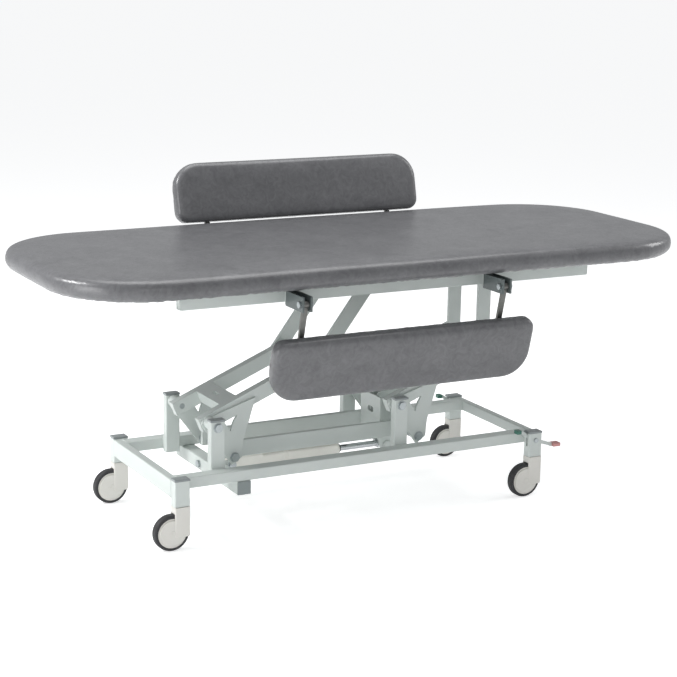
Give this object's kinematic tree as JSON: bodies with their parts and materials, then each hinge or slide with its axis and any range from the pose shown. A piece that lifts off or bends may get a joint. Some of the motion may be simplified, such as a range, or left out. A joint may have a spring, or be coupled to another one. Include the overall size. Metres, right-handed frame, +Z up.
{
  "type": "examination couch",
  "caption": "Height-adjustable examination couch: padded rounded top on a parallel-link lift with an electric actuator, folding side pads and a castored base frame.",
  "frame": {"origin": "centre of the mattress's upper face, with the couch at the height it is shown; the floor is 0.769 m below", "axes": "+X along the couch towards the end with the brake pedals, +Y towards the side whose pad is raised, +Z up"},
  "size_m": [1.93, 0.8605, 0.9414],
  "materials": {
    "upholstery": "mottled grey vinyl upholstery, soft satin",
    "board": "black painted board",
    "cap_grey": "moulded end cap",
    "plug_grey": "moulded tube plug",
    "ivory_plastic": "semi gloss moulding",
    "tyre": "dark grey rubber",
    "zinc_steel": "zinc plated",
    "bar_steel": "flat bar, dull",
    "bracket_coat": "powder coat",
    "actuator_plastic": "satin moulding",
    "chrome": "polished rod",
    "red_plastic": "moulded tab",
    "green_plastic": "moulded tab",
    "frame_coat": "pale mint powder coat, satin"
  },
  "bodies": {
    "base": {"base_side_rails": "frame_coat", "base_cross_rails": "frame_coat", "corner_posts": "frame_coat", "lift_posts": "frame_coat", "post_caps": "cap_grey", "lower_cross_tube": "frame_coat", "cross_tube_plugs": "plug_grey", "base_bolts": "zinc_steel", "actuator_bracket": "frame_coat", "pedal_pins": "zinc_steel"},
    "castor_near_left": {"castor_near_left_housing": "ivory_plastic", "castor_near_left_axle": "zinc_steel"},
    "wheel_near_left": {"castor_near_left_wheel": "ivory_plastic", "castor_near_left_tyre": "tyre"},
    "castor_near_right": {"castor_near_right_housing": "ivory_plastic", "castor_near_right_axle": "zinc_steel"},
    "wheel_near_right": {"castor_near_right_wheel": "ivory_plastic", "castor_near_right_tyre": "tyre"},
    "castor_far_left": {"castor_far_left_housing": "ivory_plastic", "castor_far_left_axle": "zinc_steel"},
    "wheel_far_left": {"castor_far_left_wheel": "ivory_plastic", "castor_far_left_tyre": "tyre"},
    "castor_far_right": {"castor_far_right_housing": "ivory_plastic", "castor_far_right_axle": "zinc_steel"},
    "wheel_far_right": {"castor_far_right_wheel": "ivory_plastic", "castor_far_right_tyre": "tyre"},
    "pedal_near": {"pedal_near_lever": "frame_coat", "pedal_near_brake_tab": "red_plastic", "pedal_near_steer_tab": "green_plastic"},
    "pedal_far": {"pedal_far_lever": "frame_coat", "pedal_far_brake_tab": "red_plastic", "pedal_far_steer_tab": "green_plastic"},
    "left_lever": {"left_lift_arms": "frame_coat", "left_lever_plates": "frame_coat", "left_cross_plate": "frame_coat", "left_lever_pins": "zinc_steel"},
    "right_lever": {"right_lift_arms": "frame_coat", "right_lever_plates": "frame_coat", "right_cross_plate": "frame_coat", "right_lever_pins": "zinc_steel", "actuator_lug": "frame_coat"},
    "tie": {"tie_bars": "frame_coat"},
    "actuator": {"actuator_motor": "actuator_plastic", "actuator_tube": "actuator_plastic"},
    "rod": {"actuator_rod": "chrome", "actuator_rod_eye": "chrome"},
    "top_frame": {"top_rails": "frame_coat", "top_cross_members": "frame_coat", "left_hangers": "frame_coat", "right_hangers": "frame_coat", "pad_brackets": "bracket_coat", "pad_pivot_bolts": "zinc_steel", "mattress_board": "board", "mattress": "upholstery"},
    "pad_near": {"pad_near_cushion": "upholstery", "pad_near_board": "board", "pad_near_bars": "bar_steel"},
    "pad_far": {"pad_far_cushion": "upholstery", "pad_far_board": "board", "pad_far_bars": "bar_steel"}
  },
  "joints": [
    {"name": "swivel_near_left", "type": "hinge", "parent": "base", "child": "castor_near_left", "pos_m": [-0.624, -0.2235, -0.648], "axis": [0, 0, 1], "continuous": true},
    {"name": "roll_near_left", "type": "hinge", "parent": "castor_near_left", "child": "wheel_near_left", "pos_m": [-0.6521, -0.2235, -0.719], "axis": [0, 1, 0], "continuous": true},
    {"name": "swivel_near_right", "type": "hinge", "parent": "base", "child": "castor_near_right", "pos_m": [0.498, -0.2235, -0.648], "axis": [0, 0, 1], "continuous": true},
    {"name": "roll_near_right", "type": "hinge", "parent": "castor_near_right", "child": "wheel_near_right", "pos_m": [0.4699, -0.2235, -0.719], "axis": [0, 1, 0], "continuous": true},
    {"name": "swivel_far_left", "type": "hinge", "parent": "base", "child": "castor_far_left", "pos_m": [-0.624, 0.2235, -0.648], "axis": [0, 0, 1], "continuous": true},
    {"name": "roll_far_left", "type": "hinge", "parent": "castor_far_left", "child": "wheel_far_left", "pos_m": [-0.6521, 0.2235, -0.719], "axis": [0, 1, 0], "continuous": true},
    {"name": "swivel_far_right", "type": "hinge", "parent": "base", "child": "castor_far_right", "pos_m": [0.498, 0.2235, -0.648], "axis": [0, 0, 1], "continuous": true},
    {"name": "roll_far_right", "type": "hinge", "parent": "castor_far_right", "child": "wheel_far_right", "pos_m": [0.4699, 0.2235, -0.719], "axis": [0, 1, 0], "continuous": true},
    {"name": "pedal_near_tilt", "type": "hinge", "parent": "base", "child": "pedal_near", "pos_m": [0.498, -0.2235, -0.599], "axis": [0, 1, 0], "range_deg": [-5, 5]},
    {"name": "pedal_far_tilt", "type": "hinge", "parent": "base", "child": "pedal_far", "pos_m": [0.498, 0.2235, -0.599], "axis": [0, 1, 0], "range_deg": [-5, 5]},
    {"name": "lift", "type": "hinge", "parent": "base", "child": "left_lever", "pos_m": [-0.49, 0, -0.464], "axis": [0, -1, 0], "range_deg": [-42, 25]},
    {"name": "right_lever_swing", "type": "hinge", "parent": "base", "child": "right_lever", "pos_m": [0.081, 0, -0.464], "axis": [0, -1, 0], "range_deg": [-44, 27]},
    {"name": "top_level", "type": "hinge", "parent": "left_lever", "child": "top_frame", "pos_m": [-0.17126, 0, -0.33197], "axis": [0, -1, 0], "range_deg": [-27, 44]},
    {"name": "tie_level", "type": "hinge", "parent": "left_lever", "child": "tie", "pos_m": [-0.414, 0, -0.571], "axis": [0, -1, 0], "range_deg": [-27, 44]},
    {"name": "actuator_tilt", "type": "hinge", "parent": "base", "child": "actuator", "pos_m": [-0.385, 0, -0.622], "axis": [0, -1, 0], "range_deg": [-2, 2]},
    {"name": "actuator_extend", "type": "slide", "parent": "actuator", "child": "rod", "axis": [1, 0, 0], "range_m": [-0.115, 0.072]},
    {"name": "pad_near_fold", "type": "hinge", "parent": "top_frame", "child": "pad_near", "pos_m": [-0.038, -0.388, -0.092], "axis": [-1, 0, 0], "range_deg": [0, 180]},
    {"name": "pad_far_fold", "type": "hinge", "parent": "top_frame", "child": "pad_far", "pos_m": [0.038, 0.388, -0.092], "axis": [-1, 0, 0], "range_deg": [0, 180]}
  ],
  "couplings": [
    {"joint": "right_lever_swing", "follows": "lift", "ratio": 1},
    {"joint": "top_level", "follows": "lift", "ratio": -1},
    {"joint": "tie_level", "follows": "lift", "ratio": -1},
    {"joint": "actuator_tilt", "follows": "lift", "ratio": 0.03},
    {"joint": "actuator_extend", "follows": "lift", "m_per_rad": 0.151}
  ]
}
